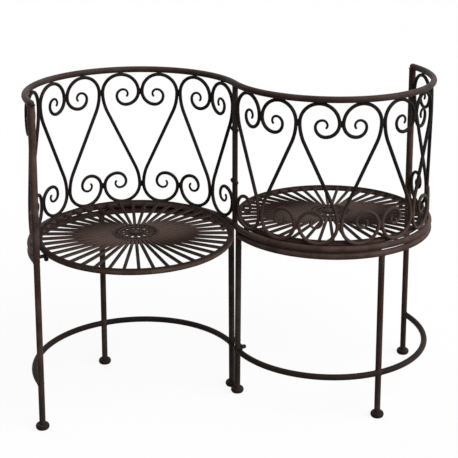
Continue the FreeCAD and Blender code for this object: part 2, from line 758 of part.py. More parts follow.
def make_bolt(name, clamped, frame):
    """A bolt whose head rests at the frame's origin, its shank along Z."""
    body = doc.addObject("PartDesign::Body", name)
    outline = sketch_on(body, "XZ_Plane", name + "_outline")
    shank = size("bolt_diameter") / 2
    head = size("bolt_head_diameter") / 2
    rise = size("bolt_head_height")
    end = bolt_stack(clamped)["end"]
    crown_radius = (head ** 2 + rise ** 2) / (2 * rise)
    half_turn = math.asin(head / crown_radius) / 2
    crown = Part.Arc(Vector(head, 0, 0),
                     Vector(crown_radius * math.sin(half_turn),
                            crown_radius * (1 - math.cos(half_turn)) - rise, 0),
                     Vector(0, -rise, 0))
    add_profile(outline, [
        Part.LineSegment(Vector(0, -rise, 0), Vector(0, end, 0)),
        Part.LineSegment(Vector(0, end, 0), Vector(shank, end, 0)),
        Part.LineSegment(Vector(shank, end, 0), Vector(shank, 0, 0)),
        Part.LineSegment(Vector(shank, 0, 0), Vector(head, 0, 0)),
        crown,
    ])
    revolve(body, outline, 360, name + "_turning")
    body.Placement = frame
    return body


def make_stud(name, clamped, frame):
    """A plain stud, welded on at the frame's origin, along Z."""
    body = doc.addObject("PartDesign::Body", name)
    section = sketch_on(body, "XY_Plane", name + "_section")
    add_circle(section, "bolt_diameter")
    pad(body, section, bolt_stack(clamped)["end"], name + "_length")
    body.Placement = frame
    return body


def make_washer(name, clamped, frame):
    body = doc.addObject("PartDesign::Body", name)
    disc = sketch_on(body, "XY_Plane", name + "_disc")
    add_circle(disc, "washer_diameter")
    add_circle(disc, "bolt_diameter + 2 * bolt_gap")
    pad(body, disc, "washer_thickness", name + "_pad")
    shift = Placement(Vector(0, 0, bolt_stack(clamped)["washer"]), Rotation())
    body.Placement = frame.multiply(shift)
    return body


def make_nut(name, clamped, frame):
    """A cap nut: a short collar that ends in a ball, over the bolt's end."""
    body = doc.addObject("PartDesign::Body", name)
    outline = sketch_on(body, "XZ_Plane", name + "_outline")
    bore = size("bolt_diameter") / 2 + size("bolt_gap")
    depth = size("bolt_end_in_nut") + size("bolt_gap")
    width = size("nut_diameter") / 2
    collar = size("nut_length") - width
    crown = Part.Arc(Vector(width, collar, 0),
                     Vector(width * math.sqrt(0.5), collar + width * math.sqrt(0.5), 0),
                     Vector(0, size("nut_length"), 0))
    add_profile(outline, [
        Part.LineSegment(Vector(bore, 0, 0), Vector(width, 0, 0)),
        Part.LineSegment(Vector(width, 0, 0), Vector(width, collar, 0)),
        crown,
        Part.LineSegment(Vector(0, size("nut_length"), 0), Vector(0, depth, 0)),
        Part.LineSegment(Vector(0, depth, 0), Vector(bore, depth, 0)),
        Part.LineSegment(Vector(bore, depth, 0), Vector(bore, 0, 0)),
    ])
    revolve(body, outline, 360, name + "_turning")
    shift = Placement(Vector(0, 0, bolt_stack(clamped)["nut"]), Rotation())
    body.Placement = frame.multiply(shift)
    return body


def bolt_places():
    """Every bolt's name, how it is made, the thickness that it clamps, and the frame at its start."""
    places = []
    down = Placement(Vector(), Rotation(Vector(1, 0, 0), 180))
    for half, turn_half in HALVES.items():
        for place, (turn, _) in enumerate(lug_ends()):
            frame = in_seat(half, turn, SEAT_RADIUS, LUG_TOP).multiply(down)
            places.append(("%s_seat_%d" % (half, place), make_stud, size("lug_thickness"), frame))
        leg = turn_half.multVec(centre_leg_point(STRAP))
        start = Vector(leg.x - TUBE_RADIUS - WELD_GAP, leg.y, STRAP)
        clamped = strap_face() + size("strap_thickness") - start.x
        frame = Placement(start, Rotation(Z_AXIS, Vector(1, 0, 0)))
        places.append((half + "_strap", make_bolt, clamped, frame))
    for place, height in enumerate(BACK_BOLT_HEIGHTS):
        reach = STILE_OFFSET + size("stile_diameter") / 2 + WELD_GAP
        frame = Placement(Vector(0, -reach, height), Rotation(Z_AXIS, Vector(0, 1, 0)))
        places.append(("back_%d" % place, make_bolt, 2 * reach - WELD_GAP, frame))
    return places


def make_fasteners():
    bolts, washers, nuts = [], [], []
    for name, make, clamped, frame in bolt_places():
        bolts.append(make(name + "_bolt", clamped, frame))
        washers.append(make_washer(name + "_washer", clamped, frame))
        nuts.append(make_nut(name + "_nut", clamped, frame))
    group(bolts, "bolts")
    group(washers, "washers")
    group(nuts, "cap_nuts")


for side in HALVES:
    make_back_frame(side)
    for number in range(1, SCROLLS + 1):
        make_scroll(side, number)
    make_leg_frame(side)
    make_foot(side, side + "_end_foot", end_axis)
    make_foot(side, side + "_mid_foot", mid_axis)
    make_foot(side, side + "_centre_foot", centre_axis)
    make_seat(side)
    make_lugs(side)
make_strap()
make_fasteners()
doc.recompute()

for made in doc.Objects:
    if "Invalid" in made.State or "Error" in made.State:
        raise RuntimeError("%s failed: %s" % (made.Label, made.State))
for made in nodes:
    if made.Shape.isNull() or not made.Shape.isValid():
        raise RuntimeError("%s has no valid shape" % made.Label)

os.makedirs("parts", exist_ok=True)
for made in nodes:
    made.Shape.exportStep(os.path.join("parts", made.Label + ".step"))
print("%d nodes written" % len(nodes))
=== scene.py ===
"""A conversation bench: two round sunburst seats in one S-shaped back, steel under dark bronze paint.

Sizes are in metres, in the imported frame's own place. The right half is the left one after half a turn.
"""
import bmesh
import bpy
import math
from mathutils import Euler, Matrix, Vector


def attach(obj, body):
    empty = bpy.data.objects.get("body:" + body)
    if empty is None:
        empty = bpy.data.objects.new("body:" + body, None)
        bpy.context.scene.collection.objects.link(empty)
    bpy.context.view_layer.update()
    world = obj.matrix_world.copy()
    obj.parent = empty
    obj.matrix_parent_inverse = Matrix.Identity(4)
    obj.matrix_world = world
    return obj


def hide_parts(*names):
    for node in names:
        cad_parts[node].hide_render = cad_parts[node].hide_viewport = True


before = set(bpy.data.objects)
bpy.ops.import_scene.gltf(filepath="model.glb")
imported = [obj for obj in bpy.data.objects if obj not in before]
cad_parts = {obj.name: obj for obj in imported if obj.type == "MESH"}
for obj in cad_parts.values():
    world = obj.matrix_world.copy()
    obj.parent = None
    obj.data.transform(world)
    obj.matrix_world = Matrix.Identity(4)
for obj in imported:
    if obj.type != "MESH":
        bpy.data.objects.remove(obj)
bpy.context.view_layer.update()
scene = bpy.context.scene
scene.view_settings.view_transform = "Standard"


# Legs: three to each half, straight round steel tube that leans out a little towards the floor.
# The whole bench is sprayed with a dark bronze paint, matt and slightly mottled, with another shade on the
# faces that look up. The end legs have a lighter, browner copy of the paint as painted light, and painted
# shade darkens them towards the floor.

HALVES = {"left": 1, "right": -1}
CLOUD_SCALE = 21.0
SPECK_SCALE = 260.0
PATCH_SCALE = 6.5
PEEL_SCALE = 900.0
WAVE_DEPTH = 0.0006
PEEL_DEPTH = 0.0003
RUSSET = (0.044, 0.0205, 0.0150, 1)
LEG_SHADE = (0.022, 0.0172, 0.0150, 1)
SHADE_FULL = 0.02
SHADE_NONE = 0.32
SHADE_SHARE = 0.8


def both(*names):
    """The names of a piece in the left and the right half."""
    return [half + "_" + name for half in HALVES for name in names]


def put(tree, kind, inputs=None, **settings):
    """Add a node. An input given as another node's socket is linked, anything else is its value."""
    made = tree.nodes.new(kind)
    for name, value in settings.items():
        setattr(made, name, value)
    for key, value in (inputs or {}).items():
        if isinstance(value, bpy.types.NodeSocket):
            tree.links.new(value, made.inputs[key])
        else:
            made.inputs[key].default_value = value
    return made


def cleared(holder):
    """The emptied node tree of a material or a world."""
    holder.use_nodes = True
    holder.node_tree.nodes.clear()
    return holder.node_tree


def worked(tree, operation, *values):
    """The result of an operation on numbers."""
    return put(tree, "ShaderNodeMath", dict(enumerate(values)), operation=operation).outputs[0]


def mixed(tree, share, first, second):
    """A colour between two others, which go into the node's sockets 6 and 7."""
    made = put(tree, "ShaderNodeMix", {0: share, 6: first, 7: second}, data_type="RGBA")
    return made.outputs[2]


def ranged(tree, value, low, high, to_low=0.0, to_high=1.0):
    """A value carried smoothly from one range to another."""
    limits = {"Value": value, "From Min": low, "From Max": high, "To Min": to_low, "To Max": to_high}
    return put(tree, "ShaderNodeMapRange", limits, interpolation_type="SMOOTHSTEP").outputs["Result"]


def noise(tree, place, scale, detail, roughness=0.5):
    """A soft random value that changes from place to place."""
    inputs = {"Vector": place, "Scale": scale, "Detail": detail, "Roughness": roughness}
    return put(tree, "ShaderNodeTexNoise", inputs).outputs["Fac"]


def object_place(tree):
    return put(tree, "ShaderNodeTexCoord").outputs["Object"]


def face_normal(tree):
    return put(tree, "ShaderNodeNewGeometry").outputs["Normal"]


def apart(tree, vector):
    """The X, Y and Z of a vector."""
    return put(tree, "ShaderNodeSeparateXYZ", {"Vector": vector}).outputs


def bronze_paint(name, umber, brown, top_and_fleck_colour, wear_and_shade=0.3, warm=0.6, gloss=0.46, grain=1.0, sheen=0.04):
    """Sprayed bronze paint: umber and brown clouds, russet patches, orange peel, and a second colour on
    upper faces: wear on most paints, painted shade on the seat's.
    """
    material = bpy.data.materials.new(name)
    tree = cleared(material)
    place = object_place(tree)
    clouds = noise(tree, place, CLOUD_SCALE * grain, 5.0, 0.62)
    specks = noise(tree, place, SPECK_SCALE * grain, 3.0, 0.7)
    patches = noise(tree, place, PATCH_SCALE, 2.0)
    peel = noise(tree, place, PEEL_SCALE, 2.0)
    upward = apart(tree, face_normal(tree))["Z"]
    ground = mixed(tree, ranged(tree, clouds, 0.36, 0.66), umber, brown)
    russet = mixed(tree, ranged(tree, patches, 0.44, 0.68, 0.0, warm), ground, RUSSET)
    flecked = mixed(tree, ranged(tree, specks, 0.52, 0.78, 0.0, 0.45), russet, top_and_fleck_colour)
    # Upper faces take the second colour: rubbed wear on most paints, painted shade where that colour is
    # dark.
    upper = ranged(tree, upward, 0.1, 0.95, 0.0, wear_and_shade)
    wear_and_shade_mask = worked(tree, "MULTIPLY", upper, ranged(tree, clouds, 0.25, 0.6, 0.45, 1.0))
    colour = mixed(tree, wear_and_shade_mask, flecked, top_and_fleck_colour)
    rough = ranged(tree, specks, 0.3, 0.75, gloss - 0.06, gloss + 0.12)
    waves = put(tree, "ShaderNodeBump", {"Height": specks, "Strength": 0.22, "Distance": WAVE_DEPTH})
    skin = put(tree, "ShaderNodeBump", {"Height": peel, "Strength": 0.14, "Distance": PEEL_DEPTH,
                                        "Normal": waves.outputs["Normal"]})
    paint = put(tree, "ShaderNodeBsdfPrincipled", {"Base Color": colour, "Roughness": rough,
                                                   "Normal": skin.outputs["Normal"],
                                                   "Specular IOR Level": sheen})
    put(tree, "ShaderNodeOutputMaterial", {"Surface": paint.outputs["BSDF"]})
    return material


def over_paint(material, share, colour):
    """Lay a second colour over a paint, by a share that a function makes in its tree."""
    tree = material.node_tree
    shader = next(made for made in tree.nodes if made.type == "BSDF_PRINCIPLED")
    before = shader.inputs["Base Color"].links[0].from_socket
    tree.links.new(mixed(tree, share(tree), before, colour), shader.inputs["Base Color"])


def paint_nodes(names, material):
    """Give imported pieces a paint."""
    for name in names:
        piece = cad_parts[name]
        if not piece.material_slots:
            piece.data.materials.append(material)
        for held in piece.material_slots:
            held.material = material


def leg_shade_share(tree):
    """A share of painted shade that grows down a leg towards the floor."""
    height = apart(tree, object_place(tree))["Z"]
    return ranged(tree, height, SHADE_FULL, SHADE_NONE, SHADE_SHARE, 0.0)


tube_paint = bronze_paint("bronze_tube_paint", umber=(0.0255, 0.0185, 0.0167, 1),
                          brown=(0.0540, 0.0380, 0.0318, 1), top_and_fleck_colour=(0.100, 0.074, 0.064, 1))
paint_nodes(both("mid_leg", "centre_leg"), tube_paint)
# Painted light: a lighter, browner copy of the tube paint, for the end legs and the support and back rails.
lit_tube_paint = bronze_paint("bronze_lit_tube_paint", umber=(0.036, 0.0229, 0.0195, 1),
                          brown=(0.083, 0.0515, 0.0420, 1), top_and_fleck_colour=(0.135, 0.092, 0.079, 1),
                          wear_and_shade=0.2, warm=0.7)
# Painted shade: the end legs darken towards the floor.
over_paint(lit_tube_paint, leg_shade_share, LEG_SHADE)
paint_nodes(both("end_leg"), lit_tube_paint)


# Feet: turned pad feet of steel, one under each leg, with a blind socket that the tube stands in.
# They are darker than the legs, and the paint is scuffed where they meet the ground.

FOOT_SCUFF = (0.11, 0.095, 0.085, 1)
CHIP_SCALE = 420.0
SCUFF_FULL = 0.0005
SCUFF_NONE = 0.006


def foot_scuff(tree):
    """Chips in the paint of a foot's last few millimetres."""
    place = object_place(tree)
    low = ranged(tree, apart(tree, place)["Z"], SCUFF_FULL, SCUFF_NONE, 1.0, 0.0)
    chips = ranged(tree, noise(tree, place, CHIP_SCALE, 4.0), 0.48, 0.62)
    return worked(tree, "MULTIPLY", low, chips)


foot_paint = bronze_paint("bronze_foot_paint", umber=(0.013, 0.0095, 0.009, 1),
                          brown=(0.023, 0.0165, 0.0145, 1), top_and_fleck_colour=(0.048, 0.037, 0.032, 1),
                          wear_and_shade=0.25, warm=0.1, gloss=0.5)
over_paint(foot_paint, foot_scuff, FOOT_SCUFF)
paint_nodes(both("end_foot", "mid_foot", "centre_foot"), foot_paint)


# Stretchers, support rails, back rails, top rails, end posts and centre stiles: tube, bent to the S where
# it follows the seats. Most ends are cut to a saddle, and welded to what they meet. The stretchers have
# the darkest copy of the paint of these, as painted shade. The end posts have a lighter brown copy, and
# the support and back rails a lighter one too, as painted light.

paint_nodes(both("top_rail", "centre_stile"), tube_paint)
paint_nodes(both("support_rail", "back_rail"), lit_tube_paint)
# Painted shade: the darkest copy of the paint, for the stretchers.
shaded_stretcher_paint = bronze_paint("bronze_shaded_stretcher_paint", umber=(0.0113, 0.0088, 0.0084, 1),
                               brown=(0.0216, 0.0154, 0.0136, 1), top_and_fleck_colour=(0.042, 0.030, 0.025, 1),
                               wear_and_shade=0.12, warm=0.3)
paint_nodes(both("inner_stretcher", "outer_stretcher"), shaded_stretcher_paint)
# Painted light: a lighter brown copy of the paint, for the end posts.
lit_post_paint = bronze_paint("bronze_lit_post_paint", umber=(0.038, 0.0238, 0.0203, 1),
                          brown=(0.0935, 0.0588, 0.0480, 1), top_and_fleck_colour=(0.134, 0.094, 0.079, 1),
                          wear_and_shade=0.25, warm=0.7)
paint_nodes(both("end_post"), lit_post_paint)


# Scrolls: eight to each half, one round bar apiece, bent cold to an S whose ends curl in by quarter turns
# that shrink evenly, and get thinner. They stand on the chords of the S and are welded where they touch.
# Painted light: their dark paint is lighter brown on the outside of the lower ones.

TOP_RAIL = 0.800
SUPPORT_RAIL = 0.429
TUBE_RADIUS = 0.0075
POST_RADIUS = 0.0085
STILE_RADIUS = 0.005
STILE_OFFSET = 0.00515
RAIL_GAP = 0.0028
BACK_RAIL = SUPPORT_RAIL + 2 * TUBE_RADIUS + RAIL_GAP
WELD_GAP = 0.0002
FLOOR_RADIUS = 0.255
TOP_RADIUS = 0.2455
END_ANGLE = 189.5
SCROLLS = 8
BAR_RADIUS = 0.00425
BAR_SIDES = 14
ARC_STEP = 0.0015
ARC_LEAST = 6
CURL_RATIO = 0.71
CURL_WAYS = [(1, 0), (0, -1), (-1, 0), (0, 1), (1, 0)]
HOOK_ANGLE = math.radians(60)
SHOULDER = 0.115
TIP_LENGTH = 0.10
TIP_GIRTH = 0.64
TIP_END = 0.75
LIT_SCROLL_BROWN = (0.074, 0.047, 0.038, 1)
CIRCLE_LEVEL = 0.5
LIT_SCROLL_BELOW = 0.50
LIT_SCROLL_UP_TO = 0.60
LIT_SCROLL_SHARE = 0.9
LIT_SCROLL_EDGE = 0.3


def bench_radius(height):
    """Radius of the two circles of the S at a height."""
    return FLOOR_RADIUS - (FLOOR_RADIUS - TOP_RADIUS) / TOP_RAIL * height


def on_curve(angle, height, side=1):
    """A point of the S, by its angle about the left circle's centre. The right half is side -1."""
    turn = math.radians(angle)
    radius = bench_radius(height)
    return Vector((side * radius * (math.cos(turn) - 1), side * radius * math.sin(turn), height))


first_scroll = math.degrees(math.asin((STILE_OFFSET + STILE_RADIUS + WELD_GAP) / bench_radius(TOP_RAIL)))
last_scroll = END_ANGLE - math.degrees((POST_RADIUS + WELD_GAP) / bench_radius(TOP_RAIL))
scroll_pitch = (last_scroll - first_scroll) / SCROLLS
half_pitch = math.radians(scroll_pitch / 2)
lobe = bench_radius(TOP_RAIL) * math.sin(half_pitch) - BAR_RADIUS - WELD_GAP
chord_inset = bench_radius(TOP_RAIL) * (1 - math.cos(half_pitch))
rail_drop = math.sqrt((TUBE_RADIUS + BAR_RADIUS + WELD_GAP) ** 2 - chord_inset ** 2)
half_rise = (TOP_RAIL - BACK_RAIL) / 2 - rail_drop


def arc_points(centre, radius, start, end):
    """Points along an arc, about a millimetre and a half apart, without its last one."""
    steps = max(ARC_LEAST, round(abs(end - start) * radius / ARC_STEP))
    turns = [start + (end - start) * step / steps for step in range(steps)]
    return [(centre[0] + radius * math.cos(turn), centre[1] + radius * math.sin(turn)) for turn in turns]


def scroll_path():
    """Points of a flat scroll, from the tip in its upper eye to the tip in its lower one."""
    radii = [lobe * CURL_RATIO ** step for step in range(len(CURL_WAYS) + 1)]
    centres = [(0.0, half_rise - lobe)]
    for step, toward in enumerate(CURL_WAYS):
        shift = radii[step] - radii[step + 1]
        last = centres[-1]
        centres.append((last[0] + toward[0] * shift, last[1] + toward[1] * shift))
    points = arc_points(centres[-1], radii[-1], -HOOK_ANGLE, 0.0)
    quarters = len(CURL_WAYS) - 1
    for step in range(quarters, 0, -1):
        start = (quarters - step) * math.pi / 2
        points += arc_points(centres[step], radii[step], start, start + math.pi / 2)
    points += arc_points(centres[0], lobe, 0.0, math.pi)
    bend = Vector((SHOULDER - lobe, centres[0][1]))
    slope = math.atan2(bend.y, bend.x) - math.acos(SHOULDER / bend.length)
    points += arc_points(bend, SHOULDER, math.pi, math.pi + slope)
    points.append((bend.x - SHOULDER * math.cos(slope), bend.y - SHOULDER * math.sin(slope)))
    return points + [(-x, -y) for x, y in reversed(points)]


def tapered(points):
    """The girth of a scroll at its points: drawn out thinner through the eye to a rounded tip."""
    run = [0.0]
    for (x, y), (next_x, next_y) in zip(points, points[1:]):
        run.append(run[-1] + math.hypot(next_x - x, next_y - y))
    shares = [min(here / TIP_LENGTH, (run[-1] - here) / TIP_LENGTH, 1.0) for here in run]
    drawn = [TIP_GIRTH + (1 - TIP_GIRTH) * share ** 2 * (3 - 2 * share) for share in shares]
    return [drawn[0] * TIP_END] + drawn[1:-1] + [drawn[-1] * TIP_END]


def scroll_frame(place):
    """The middle of a scroll of the left half, its direction along the rail, and its way up."""
    turn = math.radians(first_scroll + scroll_pitch * (place - 0.5))

    def chord(height):
        reach = bench_radius(height) * math.cos(half_pitch)
        return Vector((reach * math.cos(turn) - bench_radius(height), reach * math.sin(turn), height))

    along = Vector((math.sin(turn), -math.cos(turn), 0))
    if place % 2:
        along.negate()
    return chord((TOP_RAIL + BACK_RAIL) / 2), along, (chord(TOP_RAIL) - chord(BACK_RAIL)).normalized()


def in_scene(name, data):
    """A new object of the scene, from its mesh, lamp or camera."""
    made = bpy.data.objects.new(name, data)
    scene.collection.objects.link(made)
    return made


def path_object(name, paths, closed=False):
    """Paths of points with a girth each, as a mesh of edges that a node tree can follow."""
    spots, edges, girths = [], [], []
    for path in paths:
        first = len(spots)
        for spot, girth in path:
            spots.append(spot)
            girths.append(girth)
        edges += [(place, place + 1) for place in range(first, len(spots) - 1)]
        if closed:
            edges.append((len(spots) - 1, first))
    mesh = bpy.data.meshes.new(name)
    mesh.from_pydata(spots, edges, [])
    mesh.attributes.new("girth", "FLOAT", "POINT").data.foreach_set("value", girths)
    return in_scene(name, mesh)


def bench_tree(name, sizes):
    """An empty node tree with a geometry in and out and named inputs for its sizes."""
    tree = bpy.data.node_groups.new(name, "GeometryNodeTree")
    tree.interface.new_socket("Geometry", in_out="INPUT", socket_type="NodeSocketGeometry")
    for label, kind in sizes.items():
        tree.interface.new_socket(label, in_out="INPUT", socket_type="NodeSocket" + kind)
    tree.interface.new_socket("Geometry", in_out="OUTPUT", socket_type="NodeSocketGeometry")
    return tree, put(tree, "NodeGroupInput").outputs


def end_tree(tree, geometry, paint):
    """The end of every tree here: plain smooth mesh with its paint."""
    whole = put(tree, "GeometryNodeRealizeInstances", {"Geometry": geometry}).outputs["Geometry"]
    smooth = put(tree, "GeometryNodeSetShadeSmooth", {"Geometry": whole}).outputs["Geometry"]
    painted = put(tree, "GeometryNodeSetMaterial", {"Geometry": smooth, "Material": paint})
    put(tree, "NodeGroupOutput", {"Geometry": painted.outputs["Geometry"]})


def grow(piece, tree, sizes):
    """Run a tree on a piece and keep the plain mesh that it makes."""
    modifier = piece.modifiers.new(tree.name, "NODES")
    modifier.node_group = tree
    for item in tree.interface.items_tree:
        if item.in_out == "INPUT" and item.name in sizes:
            modifier[item.identifier] = sizes[item.name]
    grown = piece.evaluated_get(bpy.context.evaluated_depsgraph_get())
    mesh = bpy.data.meshes.new_from_object(grown)
    piece.modifiers.remove(modifier)
    piece.data = mesh
    return piece


def bar_tree():
    """A round bar along paths. A ripple along its length makes a weld bead of it."""
    tree, given = bench_tree("bar_along_path", {"Bar diameter": "Float", "Sides": "Int", "Ripple": "Float",
                                                "Ripple pitch": "Float", "Paint": "Material"})
    curve = put(tree, "GeometryNodeMeshToCurve", {"Mesh": given["Geometry"]}).outputs["Curve"]
    girth = put(tree, "GeometryNodeInputNamedAttribute", {"Name": "girth"}, data_type="FLOAT")
    length = put(tree, "GeometryNodeSplineParameter").outputs["Length"]
    waves = worked(tree, "DIVIDE", length, given["Ripple pitch"])
    swing = worked(tree, "SINE", worked(tree, "MULTIPLY", waves, math.tau))
    swell = worked(tree, "MULTIPLY_ADD", swing, given["Ripple"], 1.0)
    scale = worked(tree, "MULTIPLY", girth.outputs["Attribute"], swell)
    radius = worked(tree, "MULTIPLY", given["Bar diameter"], 0.5)
    section = put(tree, "GeometryNodeCurvePrimitiveCircle", {"Resolution": given["Sides"], "Radius": radius})
    bar = put(tree, "GeometryNodeCurveToMesh", {"Curve": curve, "Profile Curve": section.outputs["Curve"],
                                                "Scale": scale, "Fill Caps": True})
    end_tree(tree, bar.outputs["Mesh"], given["Paint"])
    return tree


def rods(name, paths, diameter, sides, paint, ripple=0.0, pitch=1.0, closed=False):
    """Round bars or beads along paths, as one mesh."""
    return grow(path_object(name, paths, closed), bars,
                {"Bar diameter": diameter, "Sides": sides, "Ripple": ripple, "Ripple pitch": pitch,
                 "Paint": paint})


def vector_worked(tree, operation, *vectors):
    """The outputs of an operation on vectors, Vector and Value."""
    return put(tree, "ShaderNodeVectorMath", dict(enumerate(vectors)), operation=operation).outputs


def from_centre(tree):
    """The level way out from the middle of the nearer circle of the S, and the height."""
    place = apart(tree, object_place(tree))
    half = worked(tree, "SIGN", place["X"])
    across = worked(tree, "MULTIPLY_ADD", half, -bench_radius(CIRCLE_LEVEL), place["X"])
    return put(tree, "ShaderNodeCombineXYZ", {"X": across, "Y": place["Y"]}).outputs["Vector"], place["Z"]


def lit_lower_outside(tree):
    """Painted light: a share on the outer faces of the lower scrolls, 0 higher up and on the inside of the
    S.
    """
    way_out, height = from_centre(tree)
    outward = vector_worked(tree, "NORMALIZE", way_out)["Vector"]
    facing = vector_worked(tree, "DOT_PRODUCT", outward, face_normal(tree))["Value"]
    low = ranged(tree, height, LIT_SCROLL_BELOW, LIT_SCROLL_UP_TO, LIT_SCROLL_SHARE, 0.0)
    return worked(tree, "MULTIPLY", ranged(tree, facing, -LIT_SCROLL_EDGE, LIT_SCROLL_EDGE), low)


scroll_paint = bronze_paint("bronze_scroll_paint", umber=(0.009, 0.0076, 0.0074, 1),
                            brown=(0.016, 0.0128, 0.0120, 1), top_and_fleck_colour=(0.034, 0.026, 0.0225, 1),
                            wear_and_shade=0.3, warm=0.1, gloss=0.48)
# Painted light on the outside of the lower scrolls.
over_paint(scroll_paint, lit_lower_outside, LIT_SCROLL_BROWN)
bars = bar_tree()
flat = scroll_path()
girths = tapered(flat)
for half, side in HALVES.items():
    paths = []
    for place in range(1, SCROLLS + 1):
        middle, along, up = scroll_frame(place)
        spots = [middle + along * x + up * y for x, y in flat]
        paths.append([((side * spot.x, side * spot.y, spot.z), girth) for spot, girth in zip(spots, girths)])
    scrollwork = rods(half + "_scrollwork", paths, 2 * BAR_RADIUS, BAR_SIDES, scroll_paint)
    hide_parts(*[half + "_scroll_%d" % place for place in range(1, SCROLLS + 1)])
    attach(scrollwork, "root")


# Seat rings: a closed ring of the same tube as the rails round each seat, which slopes a little down to
# its front. The paint has painted shade on top, and painted light in an oval across the middle of each seat.

SEAT_RISE = 0.0039
SEAT_SLOPE = math.radians(1.17)
SEAT_SHIFT = 0.005
SEAT_GAP = 0.0004
HUB_LIGHT_BROWN = (0.084, 0.0565, 0.0472, 1)
HUB_LIGHT_OVAL = (1.0, 1.7, 1.0)
HUB_LIGHT_FULL = 0.09
HUB_LIGHT_NONE = 0.18
HUB_LIGHT_SHARE = 0.85
seat_height = BACK_RAIL + SEAT_RISE
chord_reach = bench_radius(BACK_RAIL) * math.cos(half_pitch)
seat_radius = chord_reach - BAR_RADIUS - SEAT_GAP - SEAT_SHIFT - TUBE_RADIUS


def half_turn(side):
    """The turn about the bench's centre that makes the right half of the left one."""
    return Matrix.Rotation(0.0 if side > 0 else math.pi, 4, "Z")


def seat_matrix(side):
    """The frame of a seat: its origin in the middle of the ring's tube, X along the bench."""
    place = Matrix.Translation((-bench_radius(seat_height), SEAT_SHIFT, seat_height))
    return half_turn(side) @ place @ Matrix.Rotation(SEAT_SLOPE, 4, "X")


def painted_hub_light(tree):
    """Painted light: a share in an oval across the middle of each seat."""
    way_out, _ = from_centre(tree)
    oval = vector_worked(tree, "MULTIPLY", way_out, HUB_LIGHT_OVAL)["Vector"]
    return ranged(tree, vector_worked(tree, "LENGTH", oval)["Value"], HUB_LIGHT_FULL, HUB_LIGHT_NONE, HUB_LIGHT_SHARE, 0.0)


# Painted shade: the seat's paint turns almost black on the faces that look up, on the slats and the ring.
seat_paint = bronze_paint("bronze_seat_paint", umber=(0.050, 0.0318, 0.0264, 1),
                          brown=(0.094, 0.0590, 0.0485, 1), top_and_fleck_colour=(0.007, 0.0056, 0.0052, 1),
                          wear_and_shade=0.88, warm=0.4, gloss=0.52, sheen=0.02)
# Painted light in an oval across the middle of each seat.
over_paint(seat_paint, painted_hub_light, HUB_LIGHT_BROWN)
paint_nodes(both("seat_ring"), seat_paint)


# Slats: 42 round steel bars to a seat, set out like a sunburst. They lie side by side where they start at
# the rosette, are cut to a saddle at the other end, and are welded to the inside of the ring.

SLATS = 42
SLAT_RADIUS = 0.004
SLAT_SIDES = 14
SLAT_DROP = 0.0003
NOSE_LENGTH = 0.0009
NOSE_GIRTH = 0.7
slat_start = (SLAT_RADIUS + WELD_GAP / 2) / math.tan(math.pi / SLATS)
slat_level = TUBE_RADIUS - SLAT_DROP - SLAT_RADIUS


def bridge(shape, rows):
    """Faces between neighbouring rows of points. A row of one point closes to a fan."""
    steps = max(len(row) for row in rows)
    for low, high in zip(rows, rows[1:]):
        for step in range(steps):
            after = (step + 1) % steps
            corners = [low[step % len(low)], low[after % len(low)],
                       high[after % len(high)], high[step % len(high)]]
            shape.faces.new(list(dict.fromkeys(corners)))


def shaped(name, shape):
    """A mesh of this shape in the scene, with its faces turned outwards."""
    bmesh.ops.recalc_face_normals(shape, faces=shape.faces)
    mesh = bpy.data.meshes.new(name)
    shape.to_mesh(mesh)
    shape.free()
    return in_scene(name, mesh)


def slat_piece():
    """One slat along X in the seat's frame, with a blunt inner end and a saddle at the ring."""
    shape = bmesh.new()
    rows = []
    for x, girth in ((slat_start, NOSE_GIRTH), (slat_start + NOSE_LENGTH, 1.0), (None, 1.0)):
        row = []
        for step in range(SLAT_SIDES):
            turn = math.tau * step / SLAT_SIDES
            y = SLAT_RADIUS * girth * math.cos(turn)
            z = slat_level + SLAT_RADIUS * girth * math.sin(turn)
            reach = math.sqrt((seat_radius - math.sqrt(TUBE_RADIUS ** 2 - z ** 2)) ** 2 - y ** 2)
            row.append(shape.verts.new((reach if x is None else x, y, z)))
        rows.append(row)
    bridge(shape, rows)
    shape.faces.new(rows[0])
    shape.faces.new(rows[-1])
    return shaped("slat", shape)


def fan_tree():
    """Copies of a piece, turned evenly about a centre."""
    tree, given = bench_tree("fan_of_copies", {"Copies": "Int", "First turn": "Float", "Centre": "Vector",
                                               "Tilt": "Vector", "Paint": "Material"})
    spots = put(tree, "GeometryNodeMeshLine", {"Count": given["Copies"], "Offset": (0, 0, 0)})
    number = put(tree, "GeometryNodeInputIndex").outputs["Index"]
    share = worked(tree, "DIVIDE", number, given["Copies"])
    turn = worked(tree, "MULTIPLY_ADD", share, math.tau, given["First turn"])
    facing = put(tree, "ShaderNodeCombineXYZ", {"Z": turn}).outputs["Vector"]
    spin = put(tree, "FunctionNodeEulerToRotation", {"Euler": facing}).outputs["Rotation"]
    copies = put(tree, "GeometryNodeInstanceOnPoints", {"Points": spots.outputs["Mesh"],
                                                        "Instance": given["Geometry"], "Rotation": spin})
    tilt = put(tree, "FunctionNodeEulerToRotation", {"Euler": given["Tilt"]}).outputs["Rotation"]
    placed = put(tree, "GeometryNodeTransform", {"Geometry": copies.outputs["Instances"],
                                                 "Translation": given["Centre"], "Rotation": tilt})
    end_tree(tree, placed.outputs["Geometry"], given["Paint"])
    return tree


def fanned(name, piece, copies, first_turn, side):
    """A piece of the seat's frame repeated round a seat's centre, in the seat's paint."""
    piece.name = name
    matrix = seat_matrix(side)
    return grow(piece, fan, {"Copies": copies, "First turn": first_turn, "Centre": matrix.translation,
                             "Tilt": Vector(matrix.to_euler()), "Paint": seat_paint})


def sharp_edges(piece, angle):
    """Keep crisp edges where faces meet at more than an angle, in degrees."""
    piece.data.set_sharp_from_angle(angle=math.radians(angle))


